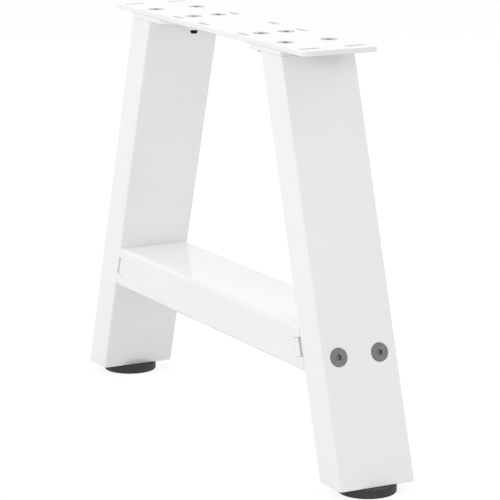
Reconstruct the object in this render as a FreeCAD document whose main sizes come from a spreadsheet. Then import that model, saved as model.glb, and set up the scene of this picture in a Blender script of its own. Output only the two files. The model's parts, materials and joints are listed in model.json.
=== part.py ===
import FreeCAD
import Part
import Sketcher
import math
import os
import re

# Trestle table leg: an A-shaped frame of steel tube with a slotted top plate.
# Own frame: +X along the spread of the two legs, +Z up, origin on the floor under the middle.
# The frame is the same when turned half round about Z, so every piece of the left side
# is the right side's piece turned by 180 degrees.

# Driving dimensions, millimetres and degrees
SIZES = {
    "total_height": 411.0,
    "tube_depth": 80.0,
    "plate_length": 408.0,
    "plate_thickness": 5.0,
    "plate_corner": 5.0,
    "plate_overhang": 44.0,
    "leg_tilt": 16.8,
    "tube_width": 38.0,
    "tube_wall": 2.0,
    "tube_corner": 1.8,
    "flange_thickness": 5.0,
    "flange_shoulder": 62.0,
    "flange_reach": 101.0,
    "tongue_edge": 12.0,
    "tongue_corner": 6.0,
    "crossbar_level": 129.0,
    "crossbar_height": 42.4,
    "crossbar_wall": 1.5,
    "crossbar_corner": 4.0,
    "nut_plate_setback": 4.0,
    "nut_plate_thickness": 9.0,
    "tab_height": 18.2,
    "bolt_drop": 12.5,
    "bolt_margin": 18.0,
    "bolt_thread": 8.0,
    "bolt_hole": 9.0,
    "bolt_engagement": 7.0,
    "bolt_head_width": 19.0,
    "sleeve_width": 22.0,
    "screw_thread": 8.0,
    "screw_length": 17.5,
    "screw_head_width": 17.0,
    "screw_hole": 9.0,
    "head_recess": 0.2,
    "socket_width": 5.0,
    "socket_depth": 3.6,
    "outer_screw_inset": 21.0,
    "outer_screw_margin": 16.5,
    "inner_screw_inset": 88.0,
    "inner_screw_spacing": 27.5,
    "collar_width": 12.5,
    "collar_height": 3.8,
    "slot_width": 6.5,
    "end_slot_length": 22.0,
    "end_slot_inset": 16.0,
    "end_slot_margin": 16.0,
    "row_slot_length": 20.0,
    "row_slot_reach": 70.0,
    "row_slot_margin": 8.0,
    "middle_slot_shift": 14.0,
    "foot_height": 9.0,
    "foot_width": 56.0,
    "foot_edge": 0.8,
    "foot_inset": 20.0,
    "foot_gap": 0.3,
    "foot_plate_thickness": 5.0,
    "bush_width": 16.0,
    "bush_height": 12.0,
    "stud_thread": 10.0,
    "stud_length": 34.0,
    "stud_hex_width": 17.0,
    "stud_hex_height": 4.5,
    "pad_floor": 2.5,
    "fit_gap": 0.2,
    "thread_gap": 0.05,
    "head_gap": 0.1,
}

# Dimensions worked out from the driving ones
WORKED_OUT = {
    "half_depth": "(tube_depth / 2)",
    "tube_top": "(total_height - plate_thickness - flange_thickness)",
    "leg_top": "(plate_length / 2 - plate_overhang)",
    "tube_run": "((tube_top - foot_height) / cos(leg_tilt))",
    "tube_cut": "(tube_width / cos(leg_tilt))",
    "wall_cut": "(tube_wall / cos(leg_tilt))",
    "leg_foot": "(leg_top + (tube_top - foot_height) * tan(leg_tilt))",
    "crossbar_top": "(crossbar_level + crossbar_height / 2)",
    "crossbar_base": "(crossbar_level - crossbar_height / 2)",
    "joint_reach": "(leg_top - tube_cut + (tube_top - crossbar_level) * tan(leg_tilt))",
    "joint_run": "((crossbar_level - tube_top) / cos(leg_tilt) + tube_width * tan(leg_tilt))",
    "plate_axis": "(nut_plate_setback + nut_plate_thickness / 2)",
    "plate_lean": "(plate_axis * tan(leg_tilt))",
    "bolt_reach": "(tube_width + nut_plate_setback + bolt_engagement)",
    "foot_axis": "(leg_foot - foot_inset)",
    "pad_top": "(foot_height - foot_gap)",
    "half_tongue": "(inner_screw_offset + tongue_edge)",
    "bolt_offset": "(half_depth - bolt_margin)",
    "end_slot_reach": "(plate_length / 2 - end_slot_inset)",
    "end_slot_offset": "(half_depth - end_slot_margin)",
    "row_slot_offset": "(half_depth - row_slot_margin)",
    "outer_screw_reach": "(leg_top - outer_screw_inset)",
    "outer_screw_offset": "(half_depth - outer_screw_margin)",
    "inner_screw_reach": "(leg_top - inner_screw_inset)",
    "inner_screw_offset": "(inner_screw_spacing / 2)",
}

# Directions, the full angle of a countersunk head, and the least volume that a cut takes
UP = FreeCAD.Vector(0, 0, 1)
ALONG = FreeCAD.Vector(1, 0, 0)
HEAD_ANGLE = 90.0
SMALLEST_CUT = 1.0

doc = FreeCAD.newDocument("trestle_leg")
sheet = doc.addObject("Spreadsheet::Sheet", "Sizes")
for row, (alias, value) in enumerate(SIZES.items(), start=1):
    sheet.set("A%d" % row, alias)
    sheet.set("B%d" % row, str(value))
    sheet.setAlias("B%d" % row, alias)
doc.recompute()


def expression(text):
    """The text with each worked-out word opened up and each size tied to its cell."""
    def open_word(match):
        word = match.group(0)
        if word in WORKED_OUT:
            return expression(WORKED_OUT[word])
        return "Sizes." + word if word in SIZES else word
    return re.sub(r"[a-z_]+", open_word, text)


def number(text):
    """The present value of an expression."""
    return float(sheet.evalExpression(expression(text)))


def bind(thing, setting, text):
    """Tie one property of a document object to the sheet."""
    thing.setExpression(setting, expression(text))


def place(thing, side, x="0", y="0", z="0", tilt="0"):
    """Put a piece at a point of the right side, leaning by tilt, then turn it to its own side."""
    turn = "180" if side == "left" else "0"
    at_side = "placement(vector(%s; %s; %s); rotation(vector(0; 1; 0); %s))" % (x, y, z, tilt)
    half_turn = "placement(vector(0; 0; 0); rotation(vector(0; 0; 1); %s))" % turn
    bind(thing, "Placement", half_turn + " * " + at_side)


def new_body(name):
    body = doc.addObject("PartDesign::Body", name)
    body.Label = name
    return body


def new_sketch(body, role, name):
    """A sketch on one of the body's own origin planes."""
    sketch = body.newObject("Sketcher::SketchObject", name)
    plane = [item for item in body.Origin.OriginFeatures if item.Role == role][0]
    sketch.AttachmentSupport = [(plane, "")]
    sketch.MapMode = "FlatFace"
    return sketch


def lift(sketch, text):
    """Move a sketch off its plane, along the plane's normal."""
    bind(sketch, "AttachmentOffset.Base.z", text)


def constrain(sketch, kind, text, *where):
    """A dimension in a sketch, tied to the sheet."""
    index = sketch.addConstraint(Sketcher.Constraint(kind, *where, number(text)))
    bind(sketch, "Constraints[%d]" % index, text)


def polygon(sketch, corners):
    """A closed outline through corners, each given by two expressions."""
    points = [FreeCAD.Vector(number(x), number(y), 0) for x, y in corners]
    first = sketch.GeometryCount
    for index, point in enumerate(points):
        following = points[(index + 1) % len(points)]
        sketch.addGeometry(Part.LineSegment(point, following), False)
    for index in range(len(points)):
        line = first + index
        following = first + (index + 1) % len(points)
        sketch.addConstraint(Sketcher.Constraint("Coincident", line, 2, following, 1))
    for index, (x, y) in enumerate(corners):
        constrain(sketch, "DistanceX", x, first + index, 1)
        constrain(sketch, "DistanceY", y, first + index, 1)


def circle(sketch, x, y, width):
    """A circle by its centre and its diameter."""
    centre = FreeCAD.Vector(number(x), number(y), 0)
    radius = number(width) / 2
    ring = sketch.addGeometry(Part.Circle(centre, FreeCAD.Vector(0, 0, 1), radius), False)
    constrain(sketch, "DistanceX", x, ring, 3)
    constrain(sketch, "DistanceY", y, ring, 3)
    constrain(sketch, "Diameter", width, ring)


def slot(sketch, x, y, length, width, along):
    """A slot with round ends, centred on x, y and running along X or along Y."""
    reach = "((%s) - (%s)) / 2" % (length, width)
    shift = number(reach)
    radius = number(width) / 2
    across = along == "Y"
    start = 0.0 if across else math.pi / 2
    step = FreeCAD.Vector(0, shift, 0) if across else FreeCAD.Vector(-shift, 0, 0)
    side = FreeCAD.Vector(radius, 0, 0) if across else FreeCAD.Vector(0, radius, 0)
    centre = FreeCAD.Vector(number(x), number(y), 0)
    axis = FreeCAD.Vector(0, 0, 1)
    head = sketch.addGeometry(
        Part.ArcOfCircle(Part.Circle(centre + step, axis, radius), start, start + math.pi), False)
    tail = sketch.addGeometry(
        Part.ArcOfCircle(Part.Circle(centre - step, axis, radius), start + math.pi, start + 2 * math.pi),
        False)
    left = sketch.addGeometry(Part.LineSegment(centre + step - side, centre - step - side), False)
    right = sketch.addGeometry(Part.LineSegment(centre - step + side, centre + step + side), False)
    for line_end, arc_end in (((head, 2), (left, 1)), ((left, 2), (tail, 1)),
                              ((tail, 2), (right, 1)), ((right, 2), (head, 1))):
        sketch.addConstraint(Sketcher.Constraint("Tangent", *line_end, *arc_end))
    sketch.addConstraint(Sketcher.Constraint("Equal", head, tail))
    for arc, sign in ((head, 1), (tail, -1)):
        along_x = "0" if across else "%d * %s" % (-sign, reach)
        along_y = "%d * %s" % (sign, reach) if across else "0"
        constrain(sketch, "DistanceX", "%s + %s" % (x, along_x), arc, 3)
        constrain(sketch, "DistanceY", "%s + %s" % (y, along_y), arc, 3)
    constrain(sketch, "Radius", "%s / 2" % width, head)


def hexagon(sketch, x, y, width):
    """A hexagon by its centre and its width across flats, two flats along X."""
    corner = "(%s) / sqrt(3)" % width
    corners = [("%s + %s * cos(%d)" % (x, corner, angle), "%s + %s * sin(%d)" % (y, corner, angle))
               for angle in range(0, 360, 60)]
    polygon(sketch, corners)


def pad(body, sketch, length, both_sides=False, downwards=False):
    feature = body.newObject("PartDesign::Pad", sketch.Name + "_pad")
    feature.Profile = sketch
    bind(feature, "Length", length)
    feature.SideType = "Symmetric" if both_sides else "One side"
    feature.Reversed = downwards
    sketch.Visibility = False
    doc.recompute()
    return feature


def pocket(body, sketch, length, both_sides=False, upwards=False):
    """Cut a sketch's outline away, and make sure that something is cut."""
    before = body.Shape.Volume
    feature = body.newObject("PartDesign::Pocket", sketch.Name + "_cut")
    feature.Profile = sketch
    bind(feature, "Length", length)
    feature.SideType = "Symmetric" if both_sides else "One side"
    feature.Reversed = upwards
    doc.recompute()
    if before - body.Shape.Volume < SMALLEST_CUT:
        raise ValueError(sketch.Name + " cuts nothing")
    return feature


def countersink(body, marks, hole_width, head_width):
    """Drill through everything below a sketch's circles, with a seat for a countersunk head."""
    doc.recompute()
    before = body.Shape.Volume
    holes = body.newObject("PartDesign::Hole", marks.Name + "_holes")
    holes.Profile = marks
    doc.recompute()
    holes.DepthType = "ThroughAll"
    holes.Threaded = False
    holes.HoleCutType = "Countersink"
    holes.HoleCutCustomValues = True
    holes.HoleCutCountersinkAngle = HEAD_ANGLE
    bind(holes, "Diameter", hole_width)
    bind(holes, "HoleCutDiameter", head_width + " + 2 * head_gap + 2 * head_recess")
    doc.recompute()
    if before - body.Shape.Volume < SMALLEST_CUT:
        raise ValueError(marks.Name + " drills nothing")
    return holes


def revolve(body, sketch):
    """Turn a profile in the XZ plane once round the Z axis."""
    feature = body.newObject("PartDesign::Revolution", sketch.Name + "_turn")
    feature.Profile = sketch
    feature.ReferenceAxis = (sketch, ["V_Axis"])
    feature.Angle = 360.0
    doc.recompute()
    return feature


def edges_along(shape, direction):
    """Names of the straight edges of a shape that run along a direction."""
    names = []
    for index, edge in enumerate(shape.Edges, start=1):
        start, end = edge.Vertexes[0].Point, edge.Vertexes[-1].Point
        run = end - start
        if run.Length > 0 and abs(abs(run.normalize().dot(direction)) - 1) < 1e-6:
            names.append("Edge%d" % index)
    return names


def same(length, text):
    """Whether a measured length is the one that an expression gives."""
    return abs(length - number(text)) < 1e-3


def fillet(body, base, names, radius):
    feature = body.newObject("PartDesign::Fillet", base.Name + "_round")
    feature.Base = (base, names)
    bind(feature, "Radius", radius)
    doc.recompute()
    return feature


SIDES = ("left", "right")
ENDS = (("front", -1), ("rear", 1))
PAIRS = ("outer", "inner")


# Top plate: flat bar with eight countersunk holes and ten slots
def make_top_plate():
    body = new_body("top_plate")
    outline = new_sketch(body, "XY_Plane", "plate_outline")
    polygon(outline, [("%s * plate_length / 2" % a, "%s * half_depth" % b)
                      for a, b in (("-1", "-1"), ("1", "-1"), ("1", "1"), ("-1", "1"))])
    lift(outline, "total_height - plate_thickness")
    bar = pad(body, outline, "plate_thickness")
    fillet(body, bar, edges_along(bar.Shape, UP), "plate_corner")

    slots = new_sketch(body, "XY_Plane", "plate_slots")
    for a, b in ((-1, -1), (1, -1), (1, 1), (-1, 1)):
        slot(slots, "%d * end_slot_reach" % a, "%d * end_slot_offset" % b,
             "end_slot_length", "slot_width", "Y")
        slot(slots, "%d * row_slot_reach" % a, "%d * row_slot_offset" % b,
             "row_slot_length", "slot_width", "X")
    for a in (-1, 1):
        slot(slots, "%d * middle_slot_shift" % a, "%d * row_slot_offset" % a,
             "row_slot_length", "slot_width", "X")
    lift(slots, "total_height")
    pocket(body, slots, "plate_thickness")

    marks = new_sketch(body, "XY_Plane", "screw_places")
    for x, y in screw_places():
        circle(marks, x, y, "screw_hole")
    lift(marks, "total_height")
    countersink(body, marks, "screw_hole", "screw_head_width")
    return body


def screw_places():
    """Centres of the eight plate screws, right side first in each pair."""
    for pair in PAIRS:
        for a in (1, -1):
            for b in (-1, 1):
                yield "%d * %s_screw_reach" % (a, pair), "%d * %s_screw_offset" % (b, pair)


# Leg tube: rectangular tube cut level at both ends, with cross holes for the side bolts
def make_leg_tube(side):
    body = new_body(side + "_leg_tube")
    outline = new_sketch(body, "XZ_Plane", side + "_leg_outline")
    polygon(outline, [("0", "0"), ("0", "-tube_run"),
                      ("-tube_width", "tube_width * tan(leg_tilt) - tube_run"),
                      ("-tube_width", "tube_width * tan(leg_tilt)")])
    bar = pad(body, outline, "tube_depth", both_sides=True)
    fillet(body, bar, edges_along(bar.Shape, UP), "tube_corner")
    bore = new_sketch(body, "XZ_Plane", side + "_leg_bore")
    polygon(bore, [("-tube_wall", "tube_wall * tan(leg_tilt)"),
                   ("-tube_wall", "tube_wall * tan(leg_tilt) - tube_run"),
                   ("tube_wall - tube_width", "(tube_width - tube_wall) * tan(leg_tilt) - tube_run"),
                   ("tube_wall - tube_width", "(tube_width - tube_wall) * tan(leg_tilt)")])
    pocket(body, bore, "tube_depth - 2 * tube_wall", both_sides=True)
    holes = new_sketch(body, "YZ_Plane", side + "_leg_holes")
    for end, sign in ENDS:
        circle(holes, "%d * bolt_offset" % sign, "joint_run - bolt_drop", "bolt_hole")
    countersink(body, holes, "bolt_hole", "bolt_head_width")
    place(body, side, "leg_top", "0", "tube_top", "-leg_tilt")
    return body


# Leg flange: plate welded on the tube's upper end, with a tongue and four threaded collars
def make_leg_flange(side):
    body = new_body(side + "_leg_flange")
    shoulder = "leg_top - flange_shoulder"
    neck = "leg_top - flange_shoulder - (half_depth - half_tongue)"
    tip = "leg_top - flange_reach"
    outline = new_sketch(body, "XY_Plane", side + "_flange_outline")
    polygon(outline, [("leg_top", "-half_depth"), ("leg_top", "half_depth"),
                      (shoulder, "half_depth"), (neck, "half_tongue"), (tip, "half_tongue"),
                      (tip, "-half_tongue"), (neck, "-half_tongue"), (shoulder, "-half_depth")])
    lift(outline, "tube_top")
    bar = pad(body, outline, "flange_thickness")
    tip_corners = [name for name in edges_along(bar.Shape, UP)
                   if bar.Shape.getElement(name).CenterOfMass.x < number(neck) - 0.1]
    fillet(body, bar, tip_corners, "tongue_corner")
    places = [(x, y) for x, y in screw_places() if not x.startswith("-")]
    collars = new_sketch(body, "XY_Plane", side + "_flange_collars")
    for x, y in places:
        circle(collars, x, y, "collar_width")
    lift(collars, "tube_top")
    pad(body, collars, "collar_height", downwards=True)
    bores = new_sketch(body, "XY_Plane", side + "_flange_bores")
    for x, y in places:
        circle(bores, x, y, "screw_thread + 2 * thread_gap")
    lift(bores, "tube_top + flange_thickness")
    pocket(body, bores, "flange_thickness + collar_height")
    place(body, side)
    return body


# Crossbar: tube mitred to the legs' inner faces, with a notch in each narrow wall at both ends
def make_crossbar():
    body = new_body("crossbar_tube")
    rise = "crossbar_height / 2"
    slope = "tan(leg_tilt)"
    outline = new_sketch(body, "XZ_Plane", "crossbar_outline")
    polygon(outline, [("-(joint_reach + %s * %s)" % (rise, slope), "crossbar_base"),
                      ("joint_reach + %s * %s" % (rise, slope), "crossbar_base"),
                      ("joint_reach - %s * %s" % (rise, slope), "crossbar_top"),
                      ("-(joint_reach - %s * %s)" % (rise, slope), "crossbar_top")])
    bar = pad(body, outline, "tube_depth", both_sides=True)
    fillet(body, bar, edges_along(bar.Shape, ALONG), "crossbar_corner")
    inner = "(crossbar_height / 2 - crossbar_wall)"
    bore = new_sketch(body, "XZ_Plane", "crossbar_bore")
    polygon(bore, [("-(joint_reach + %s * %s)" % (inner, slope), "crossbar_base + crossbar_wall"),
                   ("joint_reach + %s * %s" % (inner, slope), "crossbar_base + crossbar_wall"),
                   ("joint_reach - %s * %s" % (inner, slope), "crossbar_top - crossbar_wall"),
                   ("-(joint_reach - %s * %s)" % (inner, slope), "crossbar_top - crossbar_wall")])
    bored = pocket(body, bore, "tube_depth - 2 * crossbar_wall", both_sides=True)
    bore_edges = [name for name in edges_along(bored.Shape, ALONG)
                  if same(abs(bored.Shape.getElement(name).CenterOfMass.y), "half_depth - crossbar_wall")]
    fillet(body, bored, bore_edges, "crossbar_corner - crossbar_wall")
    notch = new_sketch(body, "XZ_Plane", "crossbar_notches")
    deep = "nut_plate_setback + nut_plate_thickness + fit_gap"
    half_tab = "(tab_height / 2 + fit_gap)"
    for sign in ("", "-"):
        polygon(notch, [(sign + "(%s)" % x, z) for x, z in (
            leaning("0", "plate_lean - " + half_tab), leaning("0", "plate_lean + " + half_tab),
            leaning("-(%s)" % deep, "plate_lean + " + half_tab),
            leaning("-(%s)" % deep, "plate_lean - " + half_tab))])
    pocket(body, notch, "tube_depth", both_sides=True)
    return body


def leaning(out, up):
    """A point of the joint's leaning frame: out from the leg's inner face and up along it."""
    x = "joint_reach + (%s) * cos(leg_tilt) - (%s) * sin(leg_tilt)" % (out, up)
    z = "crossbar_level + (%s) * sin(leg_tilt) + (%s) * cos(leg_tilt)" % (out, up)
    return x, z


# Nut plate: thick plate inside each end of the crossbar, its tabs in the notches
def make_nut_plate(side):
    body = new_body(side + "_crossbar_nut_plate")
    half_height = "(crossbar_height / 2 - crossbar_wall - fit_gap)"
    near = "-nut_plate_setback"
    far = "-(nut_plate_setback + nut_plate_thickness)"
    rows = []
    for out in (near, far):
        for sign in ("-", ""):
            up = "(%s%s - (%s) * sin(leg_tilt)) / cos(leg_tilt)" % (sign, half_height, out)
            rows.append((out, up))
    outline = new_sketch(body, "XZ_Plane", side + "_nut_plate_outline")
    polygon(outline, [rows[0], rows[1], rows[3], rows[2]])
    block = pad(body, outline, "tube_depth - 2 * crossbar_wall - 2 * fit_gap", both_sides=True)
    fillet(body, block, edges_along(block.Shape, level_direction()),
           "crossbar_corner - crossbar_wall")
    tabs = new_sketch(body, "XZ_Plane", side + "_nut_plate_tabs")
    polygon(tabs, [(out, "plate_lean %s tab_height / 2" % sign)
                   for out, sign in ((near, "-"), (near, "+"), (far, "+"), (far, "-"))])
    pad(body, tabs, "tube_depth", both_sides=True)
    holes = new_sketch(body, "YZ_Plane", side + "_nut_plate_holes")
    for end, sign in ENDS:
        circle(holes, "%d * bolt_offset" % sign, "-bolt_drop", "bolt_thread + 2 * thread_gap")
    pocket(body, holes, "nut_plate_setback + nut_plate_thickness")
    place(body, side, "joint_reach", "0", "crossbar_level", "-leg_tilt")
    return body


def level_direction():
    """The level direction, as seen from the leaning frame of the joint."""
    tilt = math.radians(number("leg_tilt"))
    return FreeCAD.Vector(math.cos(tilt), 0, -math.sin(tilt))


# Bolt sleeve: spacer that keeps the leg's walls apart and carries the seat of a side bolt
def make_bolt_sleeve(side, end, sign):
    name = "%s_%s_bolt_sleeve" % (side, end)
    body = new_body(name)
    round_bar = new_sketch(body, "XY_Plane", name + "_outline")
    circle(round_bar, "0", "0", "sleeve_width")
    lift(round_bar, "-tube_wall")
    pad(body, round_bar, "tube_width - 2 * tube_wall", downwards=True)
    mark = new_sketch(body, "XY_Plane", name + "_axis")
    circle(mark, "0", "0", "bolt_hole")
    countersink(body, mark, "bolt_hole", "bolt_head_width")
    place_on_leg(body, side, sign, "0")
    return body


def place_on_leg(body, side, sign, depth):
    """Put a piece on a side bolt's axis, some way below the leg's outer face."""
    x = "leg_top - (%s) * cos(leg_tilt) - (joint_run - bolt_drop) * sin(leg_tilt)" % depth
    z = "tube_top - (%s) * sin(leg_tilt) + (joint_run - bolt_drop) * cos(leg_tilt)" % depth
    place(body, side, x, "%d * bolt_offset" % sign, z, "90 - leg_tilt")


# Countersunk screw: cone head with a hexagon socket, threaded to its end
def make_screw(name, length, thread, head_width):
    body = new_body(name)
    profile = new_sketch(body, "XZ_Plane", name + "_profile")
    tip = "-(%s)" % length
    polygon(profile, [("0", "0"), (head_width + " / 2", "0"),
                      (thread + " / 2", "(%s - %s) / 2" % (thread, head_width)),
                      (thread + " / 2", tip), ("0", tip)])
    revolve(body, profile)
    socket = new_sketch(body, "XY_Plane", name + "_socket")
    hexagon(socket, "0", "0", "socket_width")
    pocket(body, socket, "socket_depth")
    return body


# Side bolt: through the leg and its sleeve into the crossbar's nut plate
def make_side_bolt(side, end, sign):
    body = make_screw("%s_%s_side_bolt" % (side, end), "bolt_reach - head_recess",
                      "bolt_thread", "bolt_head_width")
    place_on_leg(body, side, sign, "head_recess")
    return body


# Plate screw: through the top plate into the leg's flange
def make_plate_screw(side, pair, end, sign):
    body = make_screw("%s_%s_%s_plate_screw" % (side, pair, end), "screw_length",
                      "screw_thread", "screw_head_width")
    place(body, side, pair + "_screw_reach", "%d * %s_screw_offset" % (sign, pair),
          "total_height - head_recess")
    return body


# Foot plate: closes the tube's lower end and carries the threaded bush of the levelling foot
def make_foot_plate(side):
    body = new_body(side + "_foot_plate")
    outline = new_sketch(body, "XZ_Plane", side + "_foot_plate_outline")
    lean = "foot_plate_thickness * tan(leg_tilt)"
    outer = "leg_foot - wall_cut - fit_gap"
    inner = "leg_foot - tube_cut + wall_cut + fit_gap"
    polygon(outline, [(inner, "foot_height"), (outer, "foot_height"),
                      (outer + " - " + lean, "foot_height + foot_plate_thickness"),
                      (inner + " - " + lean, "foot_height + foot_plate_thickness")])
    pad(body, outline, "tube_depth - 2 * tube_wall - 2 * fit_gap", both_sides=True)
    bush = new_sketch(body, "XY_Plane", side + "_foot_bush")
    circle(bush, "foot_axis", "0", "bush_width")
    lift(bush, "foot_height + foot_plate_thickness")
    pad(body, bush, "bush_height")
    bore = new_sketch(body, "XY_Plane", side + "_foot_bore")
    circle(bore, "foot_axis", "0", "stud_thread + 2 * thread_gap")
    lift(bore, "foot_height")
    pocket(body, bore, "foot_plate_thickness + bush_height", upwards=True)
    place(body, side)
    return body


# Foot stud: threaded rod with a hexagon base that sits in the pad
def make_foot_stud(side):
    body = new_body(side + "_foot_stud")
    base = new_sketch(body, "XY_Plane", side + "_stud_base")
    hexagon(base, "0", "0", "stud_hex_width")
    pad(body, base, "stud_hex_height")
    rod = new_sketch(body, "XY_Plane", side + "_stud_rod")
    circle(rod, "0", "0", "stud_thread")
    lift(rod, "stud_hex_height")
    pad(body, rod, "stud_length")
    place(body, side, "foot_axis", "0", "pad_floor")
    return body


# Foot pad: round disc with a hexagon recess that holds the stud's base
def make_foot_pad(side):
    body = new_body(side + "_foot_pad")
    profile = new_sketch(body, "XZ_Plane", side + "_pad_profile")
    rim = "foot_width / 2"
    polygon(profile, [("0", "0"), (rim + " - foot_edge", "0"), (rim, "foot_edge"),
                      (rim, "pad_top - foot_edge"), (rim + " - foot_edge", "pad_top"),
                      ("0", "pad_top")])
    revolve(body, profile)
    recess = new_sketch(body, "XY_Plane", side + "_pad_recess")
    hexagon(recess, "0", "0", "stud_hex_width + 2 * fit_gap")
    lift(recess, "pad_top")
    pocket(body, recess, "pad_top - pad_floor")
    place(body, side, "foot_axis")
    return body


def make_parts():
    parts = [make_top_plate(), make_crossbar()]
    for side in SIDES:
        parts += [make_leg_tube(side), make_leg_flange(side), make_nut_plate(side)]
        parts += [make_foot_plate(side), make_foot_stud(side), make_foot_pad(side)]
        for end, sign in ENDS:
            turned_sign = -sign if side == "left" else sign
            parts.append(make_bolt_sleeve(side, end, turned_sign))
            parts.append(make_side_bolt(side, end, turned_sign))
            for pair in PAIRS:
                parts.append(make_plate_screw(side, pair, end, turned_sign))
    return parts


def check(parts):
    """Stop if any object failed or any piece is not one sound solid."""
    for thing in doc.Objects:
        if "Invalid" in thing.State or "Error" in thing.State:
            raise RuntimeError("%s is %s" % (thing.Name, thing.State))
    for part in parts:
        if part.Shape.isNull() or not part.Shape.isValid() or len(part.Shape.Solids) != 1:
            raise RuntimeError(part.Label + " is not one sound solid")


parts = make_parts()
doc.recompute()
check(parts)
os.makedirs("parts", exist_ok=True)
for part in parts:
    part.Shape.exportStep("parts/%s.step" % part.Label)
print("%d parts written" % len(parts))
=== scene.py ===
import json
import math
from functools import partial

import bmesh
import bpy
from mathutils import Matrix, Vector


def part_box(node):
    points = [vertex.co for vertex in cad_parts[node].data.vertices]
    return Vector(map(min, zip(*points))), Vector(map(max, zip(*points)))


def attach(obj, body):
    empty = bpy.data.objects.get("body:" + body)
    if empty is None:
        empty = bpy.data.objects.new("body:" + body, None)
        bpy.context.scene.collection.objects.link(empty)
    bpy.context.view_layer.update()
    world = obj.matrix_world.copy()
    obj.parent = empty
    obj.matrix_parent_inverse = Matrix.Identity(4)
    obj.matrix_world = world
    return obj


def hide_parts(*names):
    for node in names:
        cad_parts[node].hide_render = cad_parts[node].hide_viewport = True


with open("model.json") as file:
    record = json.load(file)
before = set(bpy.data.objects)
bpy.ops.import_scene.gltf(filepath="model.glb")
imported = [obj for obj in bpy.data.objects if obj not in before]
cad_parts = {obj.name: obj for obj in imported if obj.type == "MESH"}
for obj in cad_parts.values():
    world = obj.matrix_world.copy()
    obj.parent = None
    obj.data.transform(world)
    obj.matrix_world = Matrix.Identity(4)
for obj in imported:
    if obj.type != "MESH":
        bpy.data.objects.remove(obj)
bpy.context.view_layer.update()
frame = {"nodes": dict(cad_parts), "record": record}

# Trestle table leg in white powder coat. Lengths in metres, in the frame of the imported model.
MM = 0.001

TILT = math.radians(16.8)
SIDES = {"right": 1, "left": -1}
ENDS = ("front", "rear")
PAIRS = ("outer", "inner")

# Studio camera
LENS = 199.65
SENSOR = 36.0
AZIMUTH = 62.12
ELEVATION = 12.21
ROLL = 0.02
DISTANCE = 2.7684
AIM = Vector((0.02324, 0.0, 0.1862))

# Studio lamps, each with its place, size and power
LAMPS = {
    "front_softbox": ((-0.3, -2.2, 1.9), 1.6, 9.0),
    "rear_softbox": ((0.4, 2.2, 2.2), 1.6, 15.0),
    "key_softbox": ((1.45, -1.95, 1.05), 0.45, 9.0),
    "left_softbox": ((-2.4, -0.43, 1.05), 0.5, 11.5),
    "top_softbox": ((0.0, 0.0, 2.6), 1.6, 3.0)}
LAMP_AIM = Vector((0.0, 0.0, 0.2))

# Studio background and floor: what lights the leg, and what the camera sees
SOFT_LIGHT = 0.73
SEEN_LIGHT = 1.02
FLOOR_REACH = 12.0
FLOOR_TONE = 0.72
SEEN_FLOOR_TONE = 0.16
SEEN_FLOOR_GLOW = 0.86

# Finishes
COAT_TONES = ((0.905, 0.905, 0.907), (0.92, 0.92, 0.919))
COAT_ROUGHNESS = (0.11, 0.13)
COAT_REFRACTION = 1.7
# Darker grey painted on the walls of the plate's slots and holes as shade
SLOT_SHADE_TONE = 0.76
ZINC_TONES = ((0.16, 0.16, 0.162), (0.195, 0.195, 0.195))
ZINC_ROUGHNESS = (0.27, 0.36)
ZINC_LACQUER_ROUGHNESS = 0.18
PLASTIC_TONES = ((0.024, 0.024, 0.022), (0.033, 0.033, 0.03))
PLASTIC_ROUGHNESS = (0.5, 0.66)
RAMP_PLACES = (0.35, 0.65)

# Walls of the plate's openings, which get painted shade: at least this far from its rim, its underside
# and its top
PLATE_RIM = 2.0 * MM
PLATE_UNDERSIDE = 0.1 * MM
PLATE_TOPSIDE = 0.15 * MM

# Painted black shade on the ends of the plate screws, between these heights
SCREW_END_SHADE_TONE = 0.03
SCREW_END_SHADE_TOP = 399.5 * MM
SCREW_END_SHADE_FOOT = 380.0 * MM
SCREW_END_SHADE_FADE = 0.5 * MM

# Threads
AROUND = 36
ROWS_PER_TURN = 6
CLOSING_ROWS = 3
SCREW_THREAD = 8.0 * MM
SCREW_PITCH = 1.25 * MM
STUD_THREAD = 10.0 * MM
STUD_PITCH = 1.5 * MM
ROOT_SHARE = 0.835
FLANK_SLOPE = 1.3
FLANK_START = -0.15
THREAD_SLACK = 0.04 * MM
THREAD_END = 0.25 * MM
CORE_SLACK = 0.02 * MM
MERGE_DISTANCE = 0.001 * MM

# Countersunk heads, their hexagon sockets and their shanks.
# The rim's steps go inwards and down, in shares of its round.
SOCKET_WIDTH = 5.0 * MM
SOCKET_DEPTH = 3.6 * MM
SOCKET_CHAMFER = 0.35 * MM
SOCKET_POINT = 0.6 * MM
RIM_ROUND = 0.45 * MM
RIM_STEPS = ((2.2, 0.0), (1.4, 0.3), (1.0, 1.0))
SHANK_SLACK = 0.05 * MM
CORE_SHOULDER = 0.6 * MM
TIP_LENGTH = 0.8 * MM
TIP_CHAMFER = 0.6 * MM
PLATE_SCREW_PLAIN = 0.6 * MM
BOLT_THREAD_LENGTH = 24.0 * MM

# Turn of each plate screw against the one before, in radians
SCREW_TURN = 0.4

# Foot studs
STUD_HEX_WIDTH = 17.0 * MM
STUD_HEX_HEIGHT = 4.5 * MM
STUD_HEX_CHAMFER = 0.5 * MM
STUD_TIP_CHAMFER = 0.8 * MM
STUD_THREAD_END = 0.3 * MM

# Weld beads
BEAD_WIDTH = 4.2 * MM
BEAD_STEP = 1.6 * MM
BEAD_FACETS = 14
POINTS_PER_RIPPLE = 5.0
RIPPLE_DEPTH = 0.07
BEAD_TAPER = 30.0
BEAD_END_SHARE = 0.15
BEAD_SUNK = 0.3 * MM
BEAD_DROP = 0.4 * MM

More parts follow.
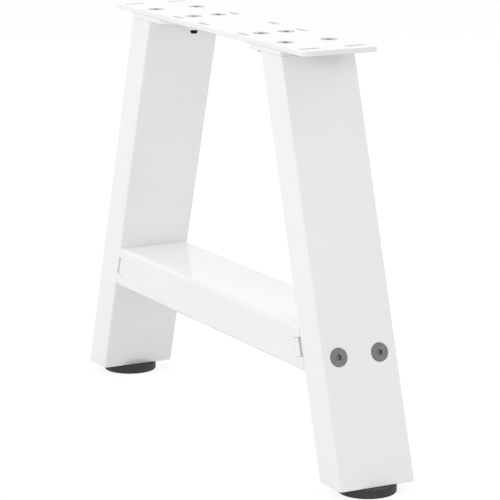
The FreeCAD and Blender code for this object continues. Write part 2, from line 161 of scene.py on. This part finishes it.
# Rounded edges of the coated steel
EDGE_ROUNDS = {"top_plate": 0.6 * MM, "left_leg_flange": 0.6 * MM, "right_leg_flange": 0.6 * MM,
               "left_leg_tube": 0.3 * MM, "right_leg_tube": 0.3 * MM}
EDGE_STEPS = 2
WELD_DISTANCE = 0.002 * MM
FLAT_ANGLE = math.radians(0.5)
SHARP_ANGLE = math.radians(40)
FACE_WEIGHT = 100

# Angles past which an edge is drawn sharp
THREAD_SHARP = math.radians(35)
BEAD_SHARP = math.radians(60)


# Node helpers
def socket_value(tree, socket, value):
    """Feed one input, by a link or by its own value."""
    if isinstance(value, bpy.types.NodeSocket):
        tree.links.new(value, socket)
    else:
        socket.default_value = value


def add_node(tree, kind, inputs=None, **settings):
    node = tree.nodes.new(kind)
    for name, value in settings.items():
        setattr(node, name, value)
    for key, value in (inputs or {}).items():
        socket_value(tree, node.inputs[key], value)
    return node


def math_of(tree, operation, *values, clamp=False):
    return add_node(tree, "ShaderNodeMath", dict(enumerate(values)),
                    operation=operation, use_clamp=clamp).outputs[0]


def axes_of(tree, vector):
    """The X, Y and Z of a vector."""
    return add_node(tree, "ShaderNodeSeparateXYZ", {0: vector}).outputs


def add_object(name, data):
    made = bpy.data.objects.new(name, data)
    bpy.context.scene.collection.objects.link(made)
    return made


# Materials
def new_material(name):
    material = bpy.data.materials.new(name)
    material.use_nodes = True
    tree = material.node_tree
    tree.nodes.clear()
    return material, tree


def new_finish(name):
    """A material with one shader, for a piece of the leg."""
    material, tree = new_material(name)
    shader = tree.nodes.new("ShaderNodeBsdfPrincipled")
    output = tree.nodes.new("ShaderNodeOutputMaterial")
    tree.links.new(shader.outputs[0], output.inputs["Surface"])
    return material, tree, shader.inputs


def object_place(tree):
    return add_node(tree, "ShaderNodeTexCoord").outputs["Object"]


def noise(tree, scale, detail=2.0):
    return add_node(tree, "ShaderNodeTexNoise", {
        "Vector": object_place(tree), "Scale": scale, "Detail": detail}).outputs["Fac"]


def grey(tone):
    return (tone, tone, tone, 1.0)


def ramp(tree, factor, low, high):
    """A colour or grey that goes from low to high as the factor rises."""
    node = add_node(tree, "ShaderNodeValToRGB", {"Fac": factor})
    for element, place, colour in zip(node.color_ramp.elements, RAMP_PLACES, (low, high)):
        element.position = place
        element.color = (*colour, 1.0) if isinstance(colour, tuple) else grey(colour)
    return node.outputs["Color"]


def mixed_colour(tree, share, first, second):
    """The first colour where the share is 0, and the second where it is 1."""
    return add_node(tree, "ShaderNodeMix", {"Factor": share, 6: first, 7: second},
                    data_type="RGBA").outputs[2]


def bump(tree, height, strength, depth, normal):
    return add_node(tree, "ShaderNodeBump", {
        "Height": height, "Strength": strength, "Distance": depth, "Normal": normal}).outputs[0]


def softened(tree, radius):
    """A normal that looks as if the edges had this radius."""
    return add_node(tree, "ShaderNodeBevel", {"Radius": radius}, samples=8).outputs[0]


def slot_wall_shade_mask(tree):
    """1 on the walls of the plate's slots and holes, where a darker grey is painted as shade, and 0
    elsewhere.
    """
    calc = partial(math_of, tree)
    place = axes_of(tree, object_place(tree))
    low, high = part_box("top_plate")
    inside_ends = calc("LESS_THAN", calc("ABSOLUTE", place["X"]), high.x - PLATE_RIM)
    inside_sides = calc("LESS_THAN", calc("ABSOLUTE", place["Y"]), high.y - PLATE_RIM)
    above = calc("GREATER_THAN", place["Z"], low.z + PLATE_UNDERSIDE)
    below = calc("LESS_THAN", place["Z"], high.z - PLATE_TOPSIDE)
    return calc("MULTIPLY", calc("MULTIPLY", inside_ends, inside_sides), calc("MULTIPLY", above, below))


def outside_screw_end_shade(tree):
    """0 on the painted black shade on the plate screws' ends, and 1 elsewhere."""
    height = axes_of(tree, object_place(tree))["Z"]
    above = add_node(tree, "ShaderNodeMapRange", {
        "Value": height, "From Min": SCREW_END_SHADE_TOP,
        "From Max": SCREW_END_SHADE_TOP + SCREW_END_SHADE_FADE}).outputs[0]
    return math_of(tree, "MAXIMUM", above, math_of(tree, "LESS_THAN", height, SCREW_END_SHADE_FOOT))


def make_powder_coat():
    material, tree, finish = new_finish("white_powder_coat")
    even = ramp(tree, noise(tree, scale=9.0, detail=3.0), *COAT_TONES)
    # The walls of the plate's slots and holes get a darker grey: painted shade
    coat = mixed_colour(tree, slot_wall_shade_mask(tree), even, grey(SLOT_SHADE_TONE))
    socket_value(tree, finish["Base Color"], coat)
    socket_value(tree, finish["Roughness"], ramp(tree, noise(tree, scale=40.0), *COAT_ROUGHNESS))
    finish["IOR"].default_value = COAT_REFRACTION
    orange_peel = bump(tree, noise(tree, scale=480.0, detail=1.0), strength=0.03, depth=0.1 * MM,
                       normal=softened(tree, 0.8 * MM))
    socket_value(tree, finish["Normal"], orange_peel)
    return material


def make_screw_steel():
    material, tree, finish = new_finish("grey_zinc_steel")
    unshaded = outside_screw_end_shade(tree)
    zinc = ramp(tree, noise(tree, scale=260.0, detail=3.0), *ZINC_TONES)
    # The plate screws' ends get a painted black shade and no lacquer between these heights
    screw_end_shade = math_of(tree, "SUBTRACT", 1.0, unshaded)
    socket_value(tree, finish["Base Color"], mixed_colour(tree, screw_end_shade, zinc, grey(SCREW_END_SHADE_TONE)))
    finish["Metallic"].default_value = 1.0
    socket_value(tree, finish["Coat Weight"], unshaded)
    finish["Coat Roughness"].default_value = ZINC_LACQUER_ROUGHNESS
    spots = noise(tree, scale=900.0, detail=4.0)
    socket_value(tree, finish["Roughness"], ramp(tree, spots, *ZINC_ROUGHNESS))
    pits = bump(tree, spots, strength=0.15, depth=0.1 * MM, normal=softened(tree, 0.25 * MM))
    socket_value(tree, finish["Normal"], pits)
    return material


def make_foot_plastic():
    material, tree, finish = new_finish("dark_moulded_plastic")
    dark = ramp(tree, noise(tree, scale=70.0, detail=4.0), *PLASTIC_TONES)
    socket_value(tree, finish["Base Color"], dark)
    grain = noise(tree, scale=1400.0, detail=3.0)
    socket_value(tree, finish["Roughness"], ramp(tree, grain, *PLASTIC_ROUGHNESS))
    rough = bump(tree, grain, strength=0.25, depth=0.2 * MM, normal=softened(tree, 0.5 * MM))
    socket_value(tree, finish["Normal"], rough)
    return material


# Geometry trees
def new_tree(name, inputs):
    """A geometry tree, its named inputs given by their kinds and first values."""
    tree = bpy.data.node_groups.new(name, "GeometryNodeTree")
    tree.interface.new_socket("Geometry", in_out="OUTPUT", socket_type="NodeSocketGeometry")
    for label, (kind, value) in inputs.items():
        made = tree.interface.new_socket(label, in_out="INPUT", socket_type="NodeSocket" + kind)
        if value is not None:
            made.default_value = value
    return tree, tree.nodes.new("NodeGroupInput").outputs


def end_tree(tree, geometry, material):
    real = add_node(tree, "GeometryNodeRealizeInstances", {"Geometry": geometry})
    finished = add_node(tree, "GeometryNodeSetMaterial", {
        "Geometry": real.outputs[0], "Material": material})
    tree.links.new(finished.outputs[0], tree.nodes.new("NodeGroupOutput").inputs[0])


def thread_surface(tree, sizes):
    """A closed rod with a helical ridge, from its top downwards."""
    calc = partial(math_of, tree)
    turns = calc("DIVIDE", sizes["Thread Length"], sizes["Pitch"])
    rows = calc("CEIL", calc("MULTIPLY_ADD", turns, ROWS_PER_TURN, CLOSING_ROWS))
    grid = add_node(tree, "GeometryNodeMeshGrid", {
        "Size X": 1.0, "Size Y": 1.0, "Vertices X": AROUND + 1, "Vertices Y": rows})
    place = axes_of(tree, add_node(tree, "GeometryNodeInputPosition").outputs[0])
    around = calc("ADD", place["X"], 0.5)
    down = calc("ADD", place["Y"], 0.5)

    # the rows between the first and the last carry the ridge, which fades out at both ends
    step = calc("DIVIDE", 1.0, calc("SUBTRACT", rows, 1.0))
    run = add_node(tree, "ShaderNodeMapRange", {
        "Value": down, "From Min": step, "From Max": calc("SUBTRACT", 1.0, step)}).outputs[0]
    depth = calc("MULTIPLY", run, sizes["Thread Length"])
    phase = calc("FRACT", calc("ADD", calc("DIVIDE", depth, sizes["Pitch"]), around))
    wave = calc("SUBTRACT", 1.0, calc("ABSOLUTE", calc("MULTIPLY_ADD", phase, 2.0, -1.0)))
    ridge = calc("MULTIPLY_ADD", wave, FLANK_SLOPE, FLANK_START, clamp=True)
    fade = calc("MINIMUM", calc("MULTIPLY", run, turns, clamp=True),
                calc("MULTIPLY", calc("SUBTRACT", 1.0, run), turns, clamp=True))
    share = calc("MULTIPLY_ADD", calc("MULTIPLY", ridge, fade), 1.0 - ROOT_SHARE, ROOT_SHARE)

    # the first and the last row shrink to a point and close the rod
    inside = calc("MULTIPLY", calc("GREATER_THAN", down, calc("MULTIPLY", step, 0.5)),
                  calc("LESS_THAN", down, calc("MULTIPLY_ADD", step, -0.5, 1.0)))
    radius = calc("DIVIDE", sizes["Thread Width"], 2.0)
    reach = calc("MULTIPLY", calc("MULTIPLY", radius, share), inside)
    angle = calc("MULTIPLY", around, -math.tau)
    height = calc("MULTIPLY_ADD", depth, -1.0, calc("MULTIPLY", sizes["Thread Top"], -1.0))
    position = add_node(tree, "ShaderNodeCombineXYZ", {
        "X": calc("MULTIPLY", reach, calc("COSINE", angle)),
        "Y": calc("MULTIPLY", reach, calc("SINE", angle)),
        "Z": height})
    wound = add_node(tree, "GeometryNodeSetPosition", {
        "Geometry": grid.outputs[0], "Position": position.outputs[0]})
    return add_node(tree, "GeometryNodeMergeByDistance", {
        "Geometry": wound.outputs[0], "Distance": MERGE_DISTANCE}).outputs[0]


def make_fastener_tree():
    """Threaded pieces: a turned blank and its thread, set on every vertex of the modified mesh."""
    tree, given = new_tree("threaded_pieces", {
        "Places": ("Geometry", None), "Blank": ("Object", None),
        "Thread Width": ("Float", SCREW_THREAD), "Pitch": ("Float", SCREW_PITCH),
        "Thread Top": ("Float", THREAD_END), "Thread Length": ("Float", BOLT_THREAD_LENGTH),
        "Material": ("Material", None)})
    blank = add_node(tree, "GeometryNodeObjectInfo", {"Object": given["Blank"]}).outputs["Geometry"]
    joined = tree.nodes.new("GeometryNodeJoinGeometry")
    tree.links.new(thread_surface(tree, given), joined.inputs[0])
    tree.links.new(blank, joined.inputs[0])
    lean = add_node(tree, "GeometryNodeInputNamedAttribute", {"Name": "lean"}, data_type="FLOAT_VECTOR")
    turn = add_node(tree, "FunctionNodeEulerToRotation", {0: lean.outputs["Attribute"]})
    points = add_node(tree, "GeometryNodeMeshToPoints", {"Mesh": given["Places"]})
    placed = add_node(tree, "GeometryNodeInstanceOnPoints", {
        "Points": points.outputs[0], "Instance": joined.outputs[0], "Rotation": turn.outputs[0]})
    end_tree(tree, placed.outputs[0], given["Material"])
    return tree


def make_weld_tree():
    """Weld bead: a rippled round bead along every chain of edges of the modified mesh."""
    tree, given = new_tree("weld_bead", {
        "Seams": ("Geometry", None), "Bead Width": ("Float", BEAD_WIDTH),
        "Ripple Step": ("Float", BEAD_STEP), "Material": ("Material", None)})
    calc = partial(math_of, tree)
    curve = add_node(tree, "GeometryNodeMeshToCurve", {"Mesh": given["Seams"]})
    spacing = calc("DIVIDE", given["Ripple Step"], POINTS_PER_RIPPLE)
    fine = add_node(tree, "GeometryNodeResampleCurve", {
        "Curve": curve.outputs[0], "Length": spacing}, mode="LENGTH")
    along = add_node(tree, "GeometryNodeSplineParameter").outputs
    turned = calc("DIVIDE", calc("MULTIPLY", along["Length"], math.tau), given["Ripple Step"])
    ripple = calc("MULTIPLY_ADD", calc("SINE", turned), RIPPLE_DEPTH, 1.0 - RIPPLE_DEPTH)
    from_end = calc("PINGPONG", along["Factor"], 0.5)
    taper = calc("SQRT", calc("MULTIPLY", from_end, BEAD_TAPER, clamp=True))
    scale = calc("MULTIPLY", ripple, calc("MAXIMUM", taper, BEAD_END_SHARE))
    profile = add_node(tree, "GeometryNodeCurvePrimitiveCircle", {
        "Resolution": BEAD_FACETS, "Radius": calc("DIVIDE", given["Bead Width"], 2.0)})
    bead = add_node(tree, "GeometryNodeCurveToMesh", {
        "Curve": fine.outputs[0], "Profile Curve": profile.outputs[0],
        "Scale": scale, "Fill Caps": True})
    end_tree(tree, bead.outputs[0], given["Material"])
    return tree


def run_tree(name, mesh, tree, inputs, sharp_angle):
    """Run a tree on a mesh once and keep the result as a plain object of that name."""
    source = add_object(name + "_source", mesh)
    modifier = source.modifiers.new("tree", "NODES")
    modifier.node_group = tree
    identifiers = {item.name: item.identifier for item in tree.interface.items_tree
                   if item.in_out == "INPUT"}
    for key, value in inputs.items():
        modifier[identifiers[key]] = value
    graph = bpy.context.evaluated_depsgraph_get()
    made = bpy.data.meshes.new_from_object(source.evaluated_get(graph))
    bpy.data.objects.remove(source)
    piece = add_object(name, made)
    made.shade_smooth()
    made.set_sharp_from_angle(angle=sharp_angle)
    return piece


# Turned blanks
def ring(bm, radius, height, hexagonal):
    """One ring of a turned blank, round or hexagonal, by its radius or half width across flats."""
    if radius == 0:
        return [bm.verts.new((0, 0, height))]
    row = []
    for index in range(AROUND):
        angle = math.tau * index / AROUND
        reach = radius
        if hexagonal:
            from_flat = (angle + math.pi / 6) % (math.pi / 3) - math.pi / 6
            reach = radius / math.cos(from_flat)
        row.append(bm.verts.new((reach * math.cos(angle), reach * math.sin(angle), height)))
    return row


def make_blank(name, rings):
    """A closed turned shape through its rings, from one pole to the other."""
    bm = bmesh.new()
    rows = [ring(bm, *values) for values in rings]
    for upper, lower in zip(rows, rows[1:]):
        for index in range(AROUND):
            following = (index + 1) % AROUND
            if len(upper) == 1:
                bm.faces.new((upper[0], lower[index], lower[following]))
            elif len(lower) == 1:
                bm.faces.new((upper[index], lower[0], upper[following]))
            else:
                bm.faces.new((upper[index], lower[index], lower[following], upper[following]))
    bmesh.ops.recalc_face_normals(bm, faces=bm.faces)
    mesh = bpy.data.meshes.new(name)
    bm.to_mesh(mesh)
    bm.free()
    return add_object(name, mesh)


def core_radius(thread):
    """The blank's radius inside the thread, just under its root."""
    return thread / 2 * ROOT_SHARE - CORE_SLACK


def screw_blank(name, head_width, thread, length, plain):
    """Countersunk head with a hexagon socket, its top at the origin, and a shank down to the thread."""
    head = head_width / 2
    shank = thread / 2
    core = core_radius(thread)
    socket = SOCKET_WIDTH / 2
    rim = [(head - inwards * RIM_ROUND, -down * RIM_ROUND, False) for inwards, down in RIM_STEPS]
    return make_blank(name, [
        (0, -SOCKET_DEPTH - SOCKET_POINT, False),
        (socket, -SOCKET_DEPTH, True),
        (socket, -SOCKET_CHAMFER, True),
        (socket + SOCKET_CHAMFER, 0, True),
        *rim,
        (shank - SHANK_SLACK, shank - head, False),
        (shank - SHANK_SLACK, shank - head - plain, False),
        (core, shank - head - plain - CORE_SHOULDER, False),
        (core, TIP_LENGTH - length, False),
        (core - TIP_CHAMFER, -length, False),
        (0, -length, False)])


def place_mesh(name, places):
    """A mesh of loose vertices, each with the lean of the piece that goes there."""
    mesh = bpy.data.meshes.new(name)
    mesh.from_pydata([place for place, _ in places], [], [])
    lean = mesh.attributes.new("lean", "FLOAT_VECTOR", "POINT")
    for index, (_, angles) in enumerate(places):
        lean.data[index].vector = angles
    return mesh


def middle(node):
    low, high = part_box(node)
    return (low + high) / 2, high - low


# Plate screws: eight countersunk screws, heads in the plate and ends below the flanges' collars
def make_plate_screws(tree, material):
    nodes = ["%s_%s_%s_plate_screw" % (side, pair, end)
             for side in SIDES for pair in PAIRS for end in ENDS]
    size = middle(nodes[0])[1]
    thread_top = (size.x - SCREW_THREAD) / 2 + PLATE_SCREW_PLAIN
    places = []
    for index, node in enumerate(nodes):
        centre = middle(node)[0]
        places.append(((centre.x, centre.y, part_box(node)[1].z), (0, 0, SCREW_TURN * index)))
    blank = screw_blank("plate_screw_blank", size.x, SCREW_THREAD, size.z, PLATE_SCREW_PLAIN)
    piece = run_tree("plate_screws", place_mesh("plate_screw_places", places), tree, {
        "Blank": blank, "Thread Width": SCREW_THREAD - THREAD_SLACK, "Pitch": SCREW_PITCH,
        "Thread Top": thread_top, "Thread Length": size.z - thread_top - THREAD_END,
        "Material": material}, THREAD_SHARP)
    bpy.data.objects.remove(blank)
    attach(piece, "frame")
    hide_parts(*nodes)


# Side bolts: two through each leg, into the nut plate inside the crossbar
def make_side_bolts(tree, material):
    nodes = ["%s_%s_side_bolt" % (side, end) for side in SIDES for end in ENDS]
    _, size = middle(nodes[0])
    head_width = size.y
    # the box of a leaning bolt spans its length, half its head's width and half its thread's
    length = (size.x - (head_width + SCREW_THREAD) / 2 * math.sin(TILT)) / math.cos(TILT)
    places = []
    for side, way in SIDES.items():
        for end in ENDS:
            low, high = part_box("%s_%s_side_bolt" % (side, end))
            outer = high.x if way > 0 else -low.x
            head = Vector((way * (outer - head_width / 2 * math.sin(TILT)), (low.y + high.y) / 2,
                           high.z - head_width / 2 * math.cos(TILT)))
            places.append((head, (0, way * (math.pi / 2 - TILT), 0)))
    plain = length - (head_width - SCREW_THREAD) / 2 - BOLT_THREAD_LENGTH
    blank = screw_blank("side_bolt_blank", head_width, SCREW_THREAD, length, plain)
    piece = run_tree("side_bolts", place_mesh("side_bolt_places", places), tree, {
        "Blank": blank, "Thread Width": SCREW_THREAD - THREAD_SLACK, "Pitch": SCREW_PITCH,
        "Thread Top": length - BOLT_THREAD_LENGTH, "Thread Length": BOLT_THREAD_LENGTH - THREAD_END,
        "Material": material}, THREAD_SHARP)
    bpy.data.objects.remove(blank)
    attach(piece, "frame")
    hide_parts(*nodes)


# Foot studs: hexagon base in the pad and an M10 thread up into the leg
def make_foot_stud(side, tree, material):
    node = side + "_foot_stud"
    centre, size = middle(node)
    core = core_radius(STUD_THREAD)
    hexagon = STUD_HEX_WIDTH / 2
    hexagon_top = STUD_HEX_HEIGHT - size.z
    blank = make_blank(node + "_blank", [
        (0, 0, False),
        (core - STUD_TIP_CHAMFER, 0, False),
        (core, -STUD_TIP_CHAMFER, False),
        (core, hexagon_top, False),
        (hexagon - STUD_HEX_CHAMFER, hexagon_top, False),
        (hexagon, hexagon_top - STUD_HEX_CHAMFER, True),
        (hexagon, -size.z, True),
        (0, -size.z, False)])
    top = (centre.x, centre.y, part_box(node)[1].z)
    places = place_mesh(node + "_place", [(top, (0, 0, 0))])
    piece = run_tree(node + "_threaded", places, tree, {
        "Blank": blank, "Thread Width": STUD_THREAD - THREAD_SLACK, "Pitch": STUD_PITCH,
        "Thread Top": THREAD_END, "Thread Length": size.z - STUD_HEX_HEIGHT - STUD_THREAD_END,
        "Material": material}, THREAD_SHARP)
    bpy.data.objects.remove(blank)
    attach(piece, side + "_foot")
    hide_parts(node)


# Flange welds: one bead under each flange, along the leg's inner face
def make_flange_welds(tree, material):
    mesh = bpy.data.meshes.new("flange_weld_seams")
    points = []
    for side, way in SIDES.items():
        low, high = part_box(side + "_leg_tube")
        seam = (low.x if way > 0 else high.x) - way * BEAD_SUNK
        reach = high.y - 2 * BEAD_WIDTH
        points += [(seam, -reach, high.z - BEAD_DROP), (seam, reach, high.z - BEAD_DROP)]
    mesh.from_pydata(points, [(0, 1), (2, 3)], [])
    piece = run_tree("flange_welds", mesh, tree, {"Material": material}, BEAD_SHARP)
    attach(piece, "frame")


def dress_cad_nodes(materials):
    """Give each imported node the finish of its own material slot."""
    for part in frame["record"]["subparts"]:
        data = frame["nodes"][part["node"]].data
        data.materials.clear()
        data.materials.append(materials[part["material_slot"]])


# Coated steel with its cut edges rounded, as they are after blasting and coating
def welded_copy(node):
    """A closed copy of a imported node's mesh, its flat faces whole again."""
    bm = bmesh.new()
    bm.from_mesh(frame["nodes"][node].data)
    bmesh.ops.remove_doubles(bm, verts=bm.verts, dist=WELD_DISTANCE)
    bmesh.ops.dissolve_limit(bm, angle_limit=FLAT_ANGLE, verts=bm.verts, edges=bm.edges)
    mesh = bpy.data.meshes.new(node + "_blank")
    bm.to_mesh(mesh)
    bm.free()
    for name in ("custom_normal", "sharp_edge", "sharp_face"):
        if name in mesh.attributes:
            mesh.attributes.remove(mesh.attributes[name])
    mesh.shade_smooth()
    return mesh


def round_steel_edges(node, width, material):
    blank = add_object(node + "_blank", welded_copy(node))
    edges = blank.modifiers.new("rounded_edges", "BEVEL")
    edges.width = width
    edges.segments = EDGE_STEPS
    edges.limit_method = "ANGLE"
    edges.angle_limit = SHARP_ANGLE
    edges.miter_outer = "MITER_ARC"
    edges.use_clamp_overlap = False
    normals = blank.modifiers.new("flat_faces", "WEIGHTED_NORMAL")
    normals.weight = FACE_WEIGHT
    graph = bpy.context.evaluated_depsgraph_get()
    mesh = bpy.data.meshes.new_from_object(blank.evaluated_get(graph))
    bpy.data.objects.remove(blank)
    mesh.name = node + "_rounded"
    mesh.materials.clear()
    mesh.materials.append(material)
    piece = add_object(node + "_rounded", mesh)
    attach(piece, "frame")
    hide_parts(node)


# Studio
def make_camera():
    azimuth = math.radians(AZIMUTH)
    elevation = math.radians(ELEVATION)
    back = Vector((math.sin(azimuth) * math.cos(elevation), -math.cos(azimuth) * math.cos(elevation),
                   math.sin(elevation)))
    right = Vector((math.cos(azimuth), math.sin(azimuth), 0.0))
    up = back.cross(right)
    turn = Matrix((right, up, back)).transposed() @ Matrix.Rotation(math.radians(ROLL), 3, "Z")
    data = bpy.data.cameras.new("studio_camera")
    data.lens = LENS
    data.sensor_width = SENSOR
    camera = add_object("studio_camera", data)
    camera.matrix_world = Matrix.Translation(AIM + back * DISTANCE) @ turn.to_4x4()
    bpy.context.scene.camera = camera


def seen_directly(tree):
    """1 for rays of the camera, of reflections and of clear materials, and 0 for the others."""
    path = add_node(tree, "ShaderNodeLightPath").outputs
    mirrored = math_of(tree, "MAXIMUM", path["Is Glossy Ray"], path["Is Transmission Ray"])
    return math_of(tree, "MAXIMUM", path["Is Camera Ray"], mirrored)


def end_by_sight(tree, unseen, seen, output):
    """One shader for the light on the leg and another for what is seen directly."""
    mixed = add_node(tree, "ShaderNodeMixShader", {0: seen_directly(tree), 1: unseen, 2: seen})
    tree.links.new(mixed.outputs[0], tree.nodes.new(output).inputs["Surface"])


def make_world():
    world = bpy.data.worlds.new("studio_world")
    world.use_nodes = True
    bpy.context.scene.world = world
    tree = world.node_tree
    tree.nodes.clear()
    soft = add_node(tree, "ShaderNodeBackground", {"Color": grey(1.0), "Strength": SOFT_LIGHT})
    white = add_node(tree, "ShaderNodeBackground", {"Color": grey(1.0), "Strength": SEEN_LIGHT})
    end_by_sight(tree, soft.outputs[0], white.outputs[0], "ShaderNodeOutputWorld")


def make_floor():
    material, tree = new_material("studio_floor")
    plain = add_node(tree, "ShaderNodeBsdfDiffuse", {"Color": grey(FLOOR_TONE)})
    shade = add_node(tree, "ShaderNodeBsdfDiffuse", {"Color": grey(SEEN_FLOOR_TONE)})
    glow = add_node(tree, "ShaderNodeEmission", {"Color": grey(1.0), "Strength": SEEN_FLOOR_GLOW})
    bright = add_node(tree, "ShaderNodeAddShader", {0: shade.outputs[0], 1: glow.outputs[0]})
    end_by_sight(tree, plain.outputs[0], bright.outputs[0], "ShaderNodeOutputMaterial")
    mesh = bpy.data.meshes.new("studio_floor")
    corners = [(-FLOOR_REACH, -FLOOR_REACH, 0), (FLOOR_REACH, -FLOOR_REACH, 0),
               (FLOOR_REACH, FLOOR_REACH, 0), (-FLOOR_REACH, FLOOR_REACH, 0)]
    mesh.from_pydata(corners, [], [(0, 1, 2, 3)])
    mesh.materials.append(material)
    floor = add_object("studio_floor", mesh)


def make_lamp(name, place, size, power):
    """A square soft lamp that is aimed at the middle of the leg and stays out of reflections."""
    data = bpy.data.lights.new(name, "AREA")
    data.shape = "SQUARE"
    data.size = size
    data.energy = power
    lamp = add_object(name, data)
    away = Vector(place) - LAMP_AIM
    lamp.matrix_world = Matrix.Translation(place) @ away.to_track_quat("Z", "Y").to_matrix().to_4x4()
    lamp.visible_glossy = False


bpy.context.scene.view_settings.view_transform = "Standard"
make_camera()
make_world()
make_floor()
for lamp_name, settings in LAMPS.items():
    make_lamp(lamp_name, *settings)

materials = {"powder_coat": make_powder_coat(), "screw_steel": make_screw_steel(),
             "foot_plastic": make_foot_plastic()}
dress_cad_nodes(materials)

for steel, width in EDGE_ROUNDS.items():
    round_steel_edges(steel, width, materials["powder_coat"])

fasteners = make_fastener_tree()
make_plate_screws(fasteners, materials["screw_steel"])
make_side_bolts(fasteners, materials["screw_steel"])
for side in SIDES:
    make_foot_stud(side, fasteners, materials["screw_steel"])
make_flange_welds(make_weld_tree(), materials["powder_coat"])
